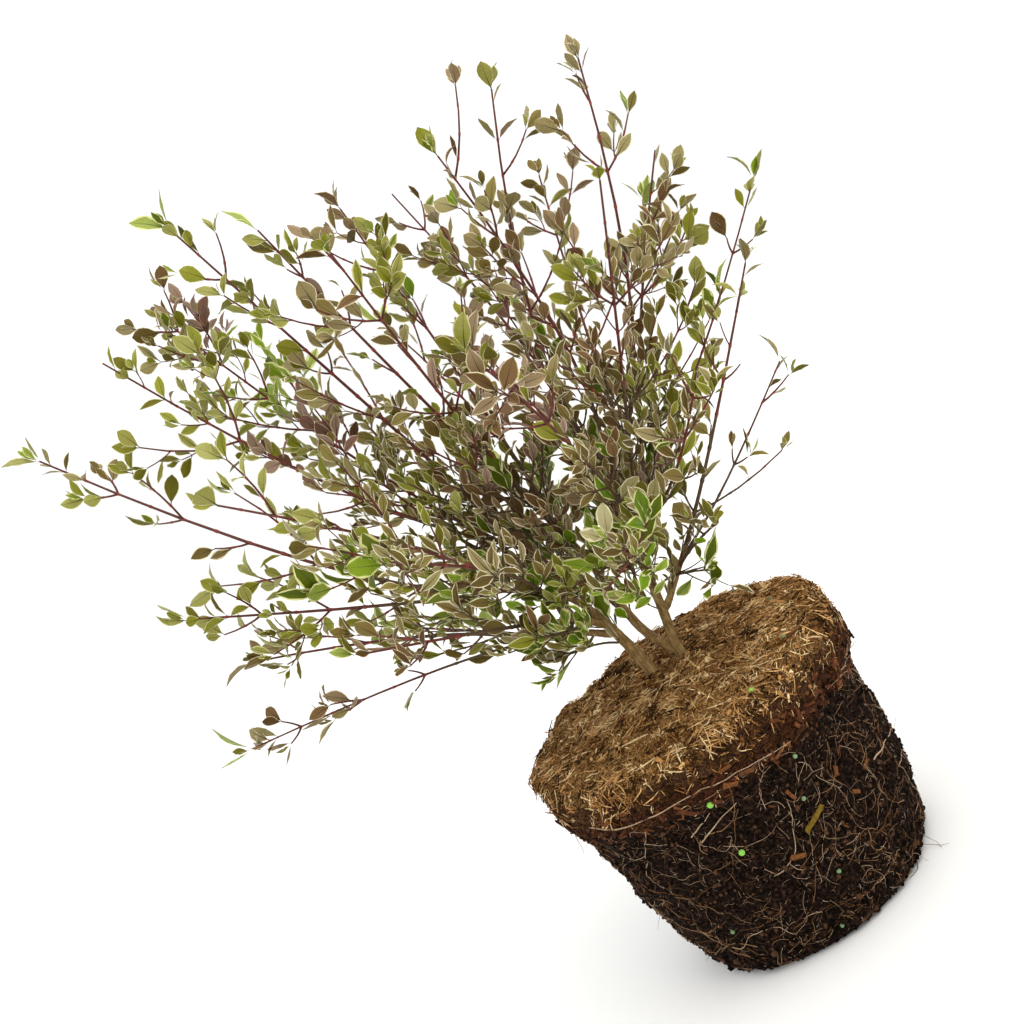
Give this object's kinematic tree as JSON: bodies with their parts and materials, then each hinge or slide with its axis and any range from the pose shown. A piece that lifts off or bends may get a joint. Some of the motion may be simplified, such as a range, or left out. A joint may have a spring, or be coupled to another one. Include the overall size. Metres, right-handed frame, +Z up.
{
  "type": "lophomyrtus shrub on its root ball",
  "caption": "Variegated lophomyrtus shrub lifted from its pot: a tapered root ball topped with mulch, short stems, fanned boughs and an open crown of small cream-edged leaves.",
  "frame": {"origin": "middle of the root ball's flat underside", "axes": "+Z up the plant; -Y towards the front, where the picture was taken from; +X to the plant's right in that view"},
  "size_m": [0.3658, 0.3196, 0.4369],
  "materials": {
    "soil": "matt, fibrous",
    "bark": "smooth, matt",
    "young_bark": "smooth, satin",
    "leaves": "satin"
  },
  "bodies": {
    "root": {"back_inner_shoots": "leaves", "back_left_bough": "young_bark", "back_left_low_shoots": "leaves", "back_left_shoots": "leaves", "back_left_upper_shoots": "leaves", "back_right_bough": "young_bark", "back_right_inner_shoots": "leaves", "back_right_low_shoots": "leaves", "back_right_shoots": "leaves", "back_right_upper_shoots": "leaves", "back_shoots": "leaves", "back_top_shoots": "leaves", "front_bough": "young_bark", "front_inner_shoots": "leaves", "front_left_bough": "young_bark", "front_left_inner_shoots": "leaves", "front_left_low_shoots": "leaves", "front_left_shoots": "leaves", "front_left_upper_shoots": "leaves", "front_low_shoots": "leaves", "front_right_low_shoots": "leaves", "front_right_shoots": "leaves", "front_right_upper_shoots": "leaves", "front_shoots": "leaves", "left_bough": "young_bark", "left_foot_shoots": "leaves", "left_inner_shoots": "leaves", "left_long_shoots": "leaves", "left_shoots": "leaves", "left_stem": "bark", "low_left_bough": "young_bark", "low_left_long_shoots": "leaves", "low_left_shoots": "leaves", "low_right_bough": "young_bark", "low_right_long_shoots": "leaves", "middle_stem": "bark", "right_bough": "young_bark", "right_foot_shoots": "leaves", "right_inner_shoots": "leaves", "right_long_shoots": "leaves", "right_low_shoots": "leaves", "right_stem": "bark", "right_upper_shoots": "leaves", "root_ball": "soil", "top_bough": "young_bark", "top_front_shoots": "leaves", "top_inner_shoots": "leaves", "top_left_shoots": "leaves", "top_middle_shoots": "leaves", "upper_left_bough": "young_bark", "upper_left_highest_shoots": "leaves", "upper_left_inner_shoots": "leaves", "upper_left_shoots": "leaves", "upper_right_bough": "young_bark", "upper_right_inner_shoots": "leaves", "upper_right_long_shoots": "leaves", "upper_right_shoots": "leaves"}
  },
  "joints": []
}
